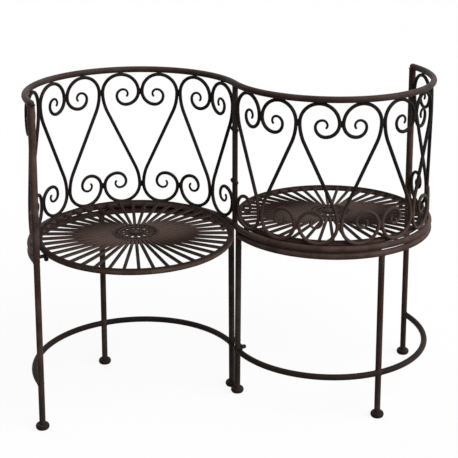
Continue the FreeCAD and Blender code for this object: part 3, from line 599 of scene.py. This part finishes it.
fan = fan_tree()
for half, side in HALVES.items():
    slats = fanned(half + "_sunburst", slat_piece(), SLATS, 0.0, side)
    sharp_edges(slats, 50)
    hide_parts(half + "_seat_slats")
    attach(slats, "root")


# Hub plates: a flat ring of steel sheet welded under each rosette and the tips of the slats, bevelled
# below. It is narrower than the solid that it stands for, since the photograph shows no more of it.

ROSETTE_GAP = 0.0003
HUB_REACH = 0.0015
HUB_LANDING = 0.004
HUB_PLATE = 0.0025
ROUND_STEPS = 96
rosette_radius = slat_start - ROSETTE_GAP
hub_radius = slat_start + HUB_REACH
hub_bore = rosette_radius - HUB_LANDING
hub_top = slat_level - SLAT_RADIUS - WELD_GAP
hub_profile = [(hub_bore, hub_top), (hub_radius, hub_top), (hub_radius - HUB_PLATE, hub_top - HUB_PLATE),
               (hub_bore, hub_top - HUB_PLATE)]


def circle(radius, height, steps):
    """Points spaced evenly round a level circle about Z."""
    turns = [math.tau * step / steps for step in range(steps)]
    return [(radius * math.cos(turn), radius * math.sin(turn), height) for turn in turns]


def lathe(name, profile, steps=24, ring=False):
    """A turned piece about Z, from radii and heights that run from axis to axis, or that close to a ring."""
    shape = bmesh.new()
    rows = []
    for radius, height in profile:
        spots = circle(radius, height, steps) if radius else [(0, 0, height)]
        rows.append([shape.verts.new(spot) for spot in spots])
    bridge(shape, rows + rows[:1] if ring else rows)
    return shaped(name, shape)


for half, side in HALVES.items():
    hub = fanned(half + "_hub_ring", lathe("hub", hub_profile, ROUND_STEPS, ring=True), 1, 0.0, side)
    sharp_edges(hub, 40)
    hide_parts(half + "_hub_plate")
    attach(hub, "root")


# Rosettes: a pierced cast disc at the middle of each seat, with 24 holes round a ring of twelve leaves.
# Cast rims, studs between the holes, a bead round each leaf, pearls and a button stand up from it.

ROSETTE_HEIGHT = 0.0072
ROSETTE_RIM = 0.007
ROSETTE_WEB = 0.006
HOLES = 24
HOLE_RADIUS = 0.00275
LEAVES = 12
HALF_LEAF = 0.0035
LEAF_STEPS = 14
BOSS_RADIUS = 0.016
BOSS_RISE = 0.0014
RIM_INSET = 0.0018
INNER_RIM_INSET = 0.0056
RIM_BEAD = 0.0022
RIM_RIPPLE = 0.16
RIM_PITCH = 0.0031
LEAF_BEAD = 0.0016
LEAF_MARGIN = 0.0009
RELIEF_SIDES = 8
KNOB_STEPS = 12
STUD = [(0, 0.0012), (0.0008, 0.0011), (0.0015, 0.0006), (0.0018, -0.0004), (0, -0.0004)]
PEARL = [(0, 0.0016), (0.0009, 0.0014), (0.0016, 0.0008), (0.0018, -0.0003), (0, -0.0003)]
PEARL_CIRCLE = 0.0122
BUTTON = [(0, 0.0038), (0.0016, 0.0037), (0.0034, 0.0031), (0.0048, 0.002), (0.0056, 0.0007),
          (0.0066, 0.0005), (0.0071, -0.0003), (0, -0.0003)]
rosette_top = slat_level - SLAT_RADIUS + ROSETTE_HEIGHT
boss_top = rosette_top + BOSS_RISE
hole_circle = rosette_radius - ROSETTE_RIM - HOLE_RADIUS
leaf_start = BOSS_RADIUS + ROSETTE_WEB
leaf_end = hole_circle - HOLE_RADIUS - ROSETTE_WEB


def rim_path(radius):
    """A rim of the rosette, as a path of even girth."""
    return [(spot, 1.0) for spot in circle(radius, rosette_top, ROUND_STEPS)]


def leaf_path():
    """The outline of a leaf opening, a margin outside it: two arcs that meet at both ends."""
    reach = (leaf_end - leaf_start) / 2 + LEAF_MARGIN
    belly = HALF_LEAF + LEAF_MARGIN
    bow = (reach ** 2 + belly ** 2) / (2 * belly)
    sweep = math.asin(reach / bow)
    middle = (leaf_start + leaf_end) / 2
    path = []
    for way in (1, -1):
        for step in range(LEAF_STEPS):
            turn = way * sweep * (2 * step / LEAF_STEPS - 1)
            x = middle + way * bow * math.sin(way * turn)
            y = way * (bow * math.cos(turn) - bow + belly)
            path.append(((x, y, rosette_top), 1.0))
    return path


def turned(name, profile, steps, out, height):
    """A turned piece at a distance from a seat's centre."""
    piece = lathe(name, profile, steps)
    piece.data.transform(Matrix.Translation((out, 0, height)))
    return piece


def joined(name, pieces, paint):
    """Several meshes as one piece with one paint."""
    shape = bmesh.new()
    for piece in pieces:
        shape.from_mesh(piece.data)
    for face in shape.faces:
        face.material_index = 0
    mesh = bpy.data.meshes.new(name)
    shape.to_mesh(mesh)
    shape.free()
    mesh.materials.append(paint)
    mesh.shade_smooth()
    for piece in pieces:
        bpy.data.objects.remove(piece)
    return in_scene(name, mesh)


# Painted shade: the disc under the relief has a darker copy of the paint, for the shade in its recesses.
shaded_rosette_paint = bronze_paint("bronze_shaded_rosette_paint", umber=(0.012, 0.0085, 0.0075, 1),
                             brown=(0.022, 0.0145, 0.012, 1), top_and_fleck_colour=(0.060, 0.042, 0.034, 1),
                             wear_and_shade=0.1, warm=0.2, gloss=0.5, sheen=0.02)
paint_nodes(both("rosette"), shaded_rosette_paint)
for half, side in HALVES.items():
    circles = [rim_path(rosette_radius - RIM_INSET), rim_path(hole_circle - INNER_RIM_INSET)]
    rims = rods("rims", circles, RIM_BEAD, RELIEF_SIDES, seat_paint, RIM_RIPPLE, RIM_PITCH, closed=True)
    rims.data.transform(seat_matrix(side))
    stud = turned("stud", STUD, KNOB_STEPS, hole_circle, rosette_top)
    studs = fanned("studs", stud, HOLES, math.pi / HOLES, side)
    leaf = rods("leaf", [leaf_path()], LEAF_BEAD, RELIEF_SIDES, seat_paint, closed=True)
    leaves = fanned("leaves", leaf, LEAVES, 0.0, side)
    pearl = turned("pearl", PEARL, KNOB_STEPS, PEARL_CIRCLE, boss_top)
    pearls = fanned("pearls", pearl, LEAVES, math.pi / LEAVES, side)
    button = fanned("button", turned("button", BUTTON, 2 * KNOB_STEPS, 0, boss_top), 1, 0.0, side)
    relief = joined(half + "_rosette_relief", [rims, studs, leaves, pearls, button], seat_paint)
    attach(relief, "root")


# Seat lugs and leg strap: short flat steel. Three lugs carry each seat ring on the end post, the back
# rail and the centre leg, and the strap bolts the two centre legs together near the floor.

paint_nodes(both("seat_lugs") + ["leg_strap"], tube_paint)


# Fasteners: weld studs under the seats, domed bolts in the back and in the strap, with washers and ball
# nuts. They are steel, sprayed with the bench, a little glossier and rubbed lighter on top.

MID_ANGLE = 96.3
LUG = 0.0034
STRAP = 0.003
STRAP_HEIGHT = 0.125
LEG_ACROSS = 0.019
LEG_SPREAD = 0.005
BACK_BOLT = 0.056
BOLT_RADIUS = 0.003
BOLT_CHAMFER = 0.0006
BOLT_IN_NUT = 0.005
BOLT_HEAD = [(0, -0.004), (0.0014, -0.00385), (0.003, -0.0031), (0.0045, -0.0018), (0.0054, -0.0004),
             (0.0055, 0)]
WASHER = 0.0015
WASHER_RIM = [(0, 0), (0.0062, 0), (0.0065, 0.0003), (0.0065, 0.0012), (0.0062, WASHER), (0, WASHER)]
WASHER_STEPS = 32
BALL_NUT = [(0, 0), (0.0052, 0), (0.0055, 0.0004), (0.0055, 0.0034), (0.0049, 0.0041), (0.0052, 0.0049),
            (0.0054, 0.0060), (0.0050, 0.0075), (0.0042, 0.0087), (0.0030, 0.0095), (0.0015, 0.0099),
            (0, 0.01)]
NUT_STEPS = 28


def centre_leg(height, side=1):
    """A point of a centre leg's axis."""
    across = LEG_ACROSS + LEG_SPREAD * height / SUPPORT_RAIL
    radius = bench_radius(height)
    return Vector((side * (math.sqrt(radius ** 2 - across ** 2) - radius), side * across, height))


def seat_stud_places():
    """The frames of the three studs under each seat's ring, Z pointing down along the stud."""
    lug_top = -TUBE_RADIUS - WELD_GAP
    level = seat_height + lug_top - LUG
    posts = [on_curve(END_ANGLE, level), on_curve(MID_ANGLE, BACK_RAIL), centre_leg(level)]
    places = []
    for side in HALVES.values():
        for post in posts:
            local = seat_matrix(1).inverted() @ post
            turn = math.atan2(local.y, local.x)
            spot = Matrix.Translation((seat_radius * math.cos(turn), seat_radius * math.sin(turn), lug_top))
            places.append((seat_matrix(side) @ spot @ Matrix.Rotation(math.pi, 4, "X"), LUG))
    return places


def through_bolt_places():
    """The frames under the heads of the strap bolts and the back bolts, and what each clamps."""
    places = []
    strap_face = -centre_leg(STRAP_HEIGHT).x + TUBE_RADIUS + WELD_GAP
    for side in HALVES.values():
        leg = centre_leg(STRAP_HEIGHT, side)
        start = Vector((leg.x - TUBE_RADIUS - WELD_GAP, leg.y, STRAP_HEIGHT))
        head = Matrix.Translation(start) @ Matrix.Rotation(math.pi / 2, 4, "Y")
        places.append((head, strap_face + STRAP - start.x))
    reach = STILE_OFFSET + STILE_RADIUS + WELD_GAP
    lobe_reach = rail_drop + lobe + BACK_BOLT
    for height in (BACK_RAIL + lobe_reach, TOP_RAIL - lobe_reach):
        head = Matrix.Translation((0, -reach, height)) @ Matrix.Rotation(-math.pi / 2, 4, "X")
        places.append((head, 2 * reach - WELD_GAP))
    return places


def shank(end):
    """The outline of a bolt below its head, with a chamfer at its end."""
    return [(BOLT_RADIUS, 0), (BOLT_RADIUS, end - BOLT_CHAMFER), (BOLT_RADIUS - BOLT_CHAMFER, end), (0, end)]


def set_tree():
    """A piece set on every point, turned as the point says."""
    tree, given = bench_tree("set_on_points", {"Piece": "Object", "Paint": "Material"})
    turn = put(tree, "GeometryNodeInputNamedAttribute", {"Name": "turn"}, data_type="FLOAT_VECTOR")
    facing = put(tree, "FunctionNodeEulerToRotation", {"Euler": turn.outputs["Attribute"]})
    piece = put(tree, "GeometryNodeObjectInfo", {"Object": given["Piece"]}).outputs["Geometry"]
    copies = put(tree, "GeometryNodeInstanceOnPoints", {"Points": given["Geometry"], "Instance": piece,
                                                        "Rotation": facing.outputs["Rotation"]})
    end_tree(tree, copies.outputs["Instances"], given["Paint"])
    return tree


def set_pieces(name, piece, places):
    """Copies of a turned piece, one in each frame."""
    mesh = bpy.data.meshes.new(name)
    mesh.from_pydata([place.translation for place in places], [], [])
    turns = [angle for place in places for angle in place.to_euler()]
    mesh.attributes.new("turn", "FLOAT_VECTOR", "POINT").data.foreach_set("vector", turns)
    made = grow(in_scene(name, mesh), sets, {"Piece": piece, "Paint": fastener_paint})
    bpy.data.objects.remove(piece)
    return made


def beyond(places, distance):
    """Frames moved along their bolts, to a distance past what each bolt clamps."""
    return [place @ Matrix.Translation((0, 0, clamped + distance)) for place, clamped in places]


fastener_paint = bronze_paint("bronze_fastener_paint", umber=(0.015, 0.011, 0.010, 1),
                              brown=(0.025, 0.018, 0.0155, 1), top_and_fleck_colour=(0.055, 0.042, 0.035, 1),
                              wear_and_shade=0.35, warm=0.2, gloss=0.36, grain=2.0)
sets = set_tree()
stud_places = seat_stud_places()
bolt_places = through_bolt_places()
all_places = stud_places + bolt_places
nut_at = 2 * WELD_GAP + WASHER
end_at = nut_at + BOLT_IN_NUT
stud_bar = lathe("stud_bar", [(0, 0)] + shank(LUG + end_at))
parts = [set_pieces("studs", stud_bar, [place for place, _ in stud_places])]
for place, clamped in bolt_places:
    bolt = lathe("bolt", BOLT_HEAD + shank(clamped + end_at))
    parts.append(set_pieces("bolt", bolt, [place]))
bolt_set = joined("bolt_set", parts, fastener_paint)
washer = lathe("washer", WASHER_RIM, WASHER_STEPS)
washer_set = set_pieces("washer_set", washer, beyond(all_places, WELD_GAP))
ball_nut = lathe("ball_nut", BALL_NUT, NUT_STEPS)
nut_set = set_pieces("ball_nut_set", ball_nut, beyond(all_places, nut_at))
for piece, hidden in ((bolt_set, "bolts"), (washer_set, "washers"), (nut_set, "cap_nuts")):
    sharp_edges(piece, 40)
    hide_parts(hidden)
    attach(piece, "root")


# Welds: small rippled beads where the saddle ends of the tubes meet, where the scrolls touch the rails
# and each other, and where the slats meet their ring. A long seam joins the back rail to the support rail
# from the centre leg to the mid leg. They are painted over with the rest.

UP = Vector((0, 0, 1))
STRETCHER = 0.118
LEG_TOP_ANGLE = 5
POST_COPE = 0.004
SADDLE_STEPS = 40
FRAME_BEAD = 0.0026
FRAME_BEAD_SIDES = 8
FRAME_RIPPLE = 0.14


def saddle(spot, out, main_axis, branch_radius, main_radius, least=0.0):
    """The closed line on which a round branch that runs out from a spot meets a round main tube."""
    out = out.normalized()
    along = (main_axis - out * main_axis.dot(out)).normalized()
    across = out.cross(along)
    path = []
    for step in range(SADDLE_STEPS):
        turn = math.tau * step / SADDLE_STEPS
        side = branch_radius * math.sin(turn)
        depth = max(math.sqrt(max(main_radius ** 2 - side ** 2, 0.0)), least)
        path.append((spot + along * branch_radius * math.cos(turn) + across * side + out * depth, 1.0))
    return path


def tangent(angle, side):
    """The direction of the S at an angle, away from the bench's centre."""
    turn = math.radians(angle)
    return Vector((-side * math.sin(turn), side * math.cos(turn), 0))


def leg_angle(height):
    """The angle of a centre leg about its circle at a height."""
    return math.degrees(math.asin(centre_leg(height).y / bench_radius(height)))


loops = []
for side in HALVES.values():
    end_way = tangent(END_ANGLE, side)
    mid_way = tangent(MID_ANGLE, side)
    for height in (STRETCHER, SUPPORT_RAIL):
        leg_way = tangent(leg_angle(height), side)
        loops.append(saddle(centre_leg(height, side), leg_way, UP, TUBE_RADIUS, TUBE_RADIUS))
        loops.append(saddle(on_curve(END_ANGLE, height, side), -end_way, UP, TUBE_RADIUS, TUBE_RADIUS))
    for way in (1, -1):
        mid_leg = on_curve(MID_ANGLE, STRETCHER, side)
        loops.append(saddle(mid_leg, way * mid_way, UP, TUBE_RADIUS, TUBE_RADIUS))
    loops.append(saddle(on_curve(END_ANGLE, BACK_RAIL, side), -end_way, UP, TUBE_RADIUS, POST_RADIUS))
    loops.append(saddle(on_curve(MID_ANGLE, SUPPORT_RAIL, side), -UP, mid_way, TUBE_RADIUS, TUBE_RADIUS))
    top_way = tangent(LEG_TOP_ANGLE, side)
    loops.append(saddle(centre_leg(BACK_RAIL, side), -UP, top_way, TUBE_RADIUS, TUBE_RADIUS))
    post_top = on_curve(END_ANGLE, TOP_RAIL, side)
    loops.append(saddle(post_top, -UP, end_way, POST_RADIUS, TUBE_RADIUS, POST_COPE))
    stile = Vector((0, side * STILE_OFFSET, 0))
    loops.append(saddle(stile + UP * TOP_RAIL, -UP, tangent(0, side), STILE_RADIUS, TUBE_RADIUS))
    loops.append(saddle(stile + UP * BACK_RAIL, UP, tangent(0, side), STILE_RADIUS, TUBE_RADIUS))
frame_welds = rods("frame_welds", loops, FRAME_BEAD, FRAME_BEAD_SIDES, tube_paint, FRAME_RIPPLE, FRAME_BEAD,
                   closed=True)
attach(frame_welds, "root")

BEAD_SHARES = [-1.0, -0.9, -0.7, -0.4, 0.0, 0.4, 0.7, 0.9, 1.0]
BEAD_GIRTHS = [0.15, 0.5, 0.8, 0.95, 1.0, 0.95, 0.8, 0.5, 0.15]
SCROLL_BEAD = 0.0046
SCROLL_BEAD_SIDES = 10
SCROLL_RIPPLE = 0.1
SCROLL_RIPPLE_PITCH = 0.003
RAIL_BEAD_LENGTH = 0.013
LOBE_BEAD_LENGTH = 0.016
RAIL_BEAD_DEPTH = 0.8
SEAM_START = 7.5
SEAM_STEPS = 444
SEAM_GIRTH = 0.78
SEAM_TAPER = 10
SEAM_TIP = 0.2
seam_height = (SUPPORT_RAIL + BACK_RAIL) / 2


def bead(spot, along, length):
    """A short open bead, thinner towards its ends."""
    return [(spot + along * length / 2 * share, girth) for share, girth in zip(BEAD_SHARES, BEAD_GIRTHS)]


def seam(side):
    """The bead between the back rail and the support rail, thinner towards its ends."""
    path = []
    for step in range(SEAM_STEPS + 1):
        angle = SEAM_START + (MID_ANGLE - SEAM_START) * step / SEAM_STEPS
        from_end = min(step, SEAM_STEPS - step, SEAM_TAPER) / SEAM_TAPER
        girth = SEAM_GIRTH * (SEAM_TIP + (1 - SEAM_TIP) * from_end)
        path.append((on_curve(angle, seam_height, side), girth))
    return path


beads = []
for side in HALVES.values():
    beads.append(seam(side))
    turn_half = half_turn(side)
    for place in range(1, SCROLLS + 1):
        middle, along, up = scroll_frame(place)
        for way in (1, -1):
            touch = middle + up * way * (half_rise + BAR_RADIUS * RAIL_BEAD_DEPTH)
            beads.append(bead(turn_half @ touch, turn_half @ along, RAIL_BEAD_LENGTH))
    for place in range(SCROLLS + 1):
        angle = first_scroll + scroll_pitch * place
        lean = (on_curve(angle, TOP_RAIL, side) - on_curve(angle, BACK_RAIL, side)).normalized()
        for height in (TOP_RAIL - rail_drop - lobe, BACK_RAIL + rail_drop + lobe):
            beads.append(bead(on_curve(angle, height, side), lean, LOBE_BEAD_LENGTH))
scroll_welds = rods("scroll_welds", beads, SCROLL_BEAD, SCROLL_BEAD_SIDES, scroll_paint, SCROLL_RIPPLE,
                    SCROLL_RIPPLE_PITCH)
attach(scroll_welds, "root")

SEAT_BEAD = 0.0022
SEAT_BEAD_SIDES = 6
SEAT_RIPPLE = 0.12
SEAT_BEAD_INSET = 0.0032
SEAT_BEAD_RISE = 0.82
SEAT_BEAD_WIDTH = 1.7
beads = []
for side in HALVES.values():
    for place in range(SLATS):
        turn = math.tau * place / SLATS
        out = seat_radius - SEAT_BEAD_INSET
        level = slat_level + SLAT_RADIUS * SEAT_BEAD_RISE
        spot = Vector((out * math.cos(turn), out * math.sin(turn), level))
        along = Vector((-math.sin(turn), math.cos(turn), 0))
        path = bead(spot, along, SLAT_RADIUS * SEAT_BEAD_WIDTH)
        beads.append([(seat_matrix(side) @ point, girth) for point, girth in path])
seat_welds = rods("seat_welds", beads, SEAT_BEAD, SEAT_BEAD_SIDES, seat_paint, SEAT_RIPPLE, SEAT_BEAD)
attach(seat_welds, "root")


# Studio: a wide white floor in a white surround, which shows white to the camera and in reflections and
# lights the bench less than that. Three broad soft lights shine from the front right, from lower down on
# the right, and weakly and without glints from behind. The camera has the photograph's view.

FILL = 0.18
FLOOR_REACH = 14.0
FLOOR_WHITE = 0.98
FLOOR_BOUNCE = 0.25
FLOOR_GLOW = 0.88
CAMERA_PLACE = (-0.87235, -2.46532, 1.37803)
CAMERA_DOWN = 19.79
CAMERA_TURN = -19.17
CAMERA_LENS = 88.88
CAMERA_SENSOR = 36.0


def grey(level):
    return level, level, level, 1


def seen_rays(tree):
    """1 for rays that see a surface directly or in a reflection."""
    rays = put(tree, "ShaderNodeLightPath").outputs
    direct = worked(tree, "MAXIMUM", rays["Is Camera Ray"], rays["Is Transmission Ray"])
    return worked(tree, "MAXIMUM", direct, rays["Is Glossy Ray"])


world = bpy.data.worlds.new("white_studio")
scene.world = world
sky = cleared(world)
fill = put(sky, "ShaderNodeBackground", {"Color": grey(1), "Strength": FILL}).outputs[0]
white = put(sky, "ShaderNodeBackground", {"Color": grey(1), "Strength": 1.0}).outputs[0]
surround = put(sky, "ShaderNodeMixShader", {0: seen_rays(sky), 1: fill, 2: white}).outputs[0]
put(sky, "ShaderNodeOutputWorld", {"Surface": surround})

floor_mesh = bpy.data.meshes.new("floor")
corners = [(x * FLOOR_REACH, y * FLOOR_REACH, 0) for x, y in ((-1, -1), (1, -1), (1, 1), (-1, 1))]
floor_mesh.from_pydata(corners, [], [(0, 1, 2, 3)])
floor = in_scene("floor", floor_mesh)
floor_white = bpy.data.materials.new("floor_white")
ground = cleared(floor_white)
matt = put(ground, "ShaderNodeBsdfDiffuse", {"Color": grey(FLOOR_WHITE)}).outputs[0]
glow = put(ground, "ShaderNodeEmission", {"Strength": 1.0}).outputs[0]
shown = put(ground, "ShaderNodeMixShader", {0: FLOOR_GLOW, 1: matt, 2: glow}).outputs[0]
bounce = put(ground, "ShaderNodeBsdfDiffuse", {"Color": grey(FLOOR_BOUNCE)}).outputs[0]
lit = put(ground, "ShaderNodeMixShader", {0: seen_rays(ground), 1: bounce, 2: shown}).outputs[0]
put(ground, "ShaderNodeOutputMaterial", {"Surface": lit})
floor_mesh.materials.append(floor_white)


def soft_sun(name, strength, spread, azimuth, elevation, glint=True):
    """A broad soft lamp, with or without glints. Azimuth 0 shines along +Y, from the front."""
    lamp = bpy.data.lights.new(name, "SUN")
    lamp.energy = strength
    lamp.angle = math.radians(spread)
    made = in_scene(name, lamp)
    made.visible_glossy = glint
    made.rotation_euler = Euler((math.radians(90 - elevation), 0, math.radians(azimuth)))


soft_sun("key", strength=2.4, spread=50, azimuth=20, elevation=40)
soft_sun("side", strength=1.5, spread=40, azimuth=66, elevation=26)
soft_sun("back", strength=0.9, spread=60, azimuth=200, elevation=22, glint=False)

camera = bpy.data.cameras.new("camera")
camera.lens = CAMERA_LENS
camera.sensor_width = CAMERA_SENSOR
eye = in_scene("camera", camera)
eye.location = CAMERA_PLACE
eye.rotation_euler = Euler((math.radians(90 - CAMERA_DOWN), 0, math.radians(CAMERA_TURN)))
scene.camera = eye
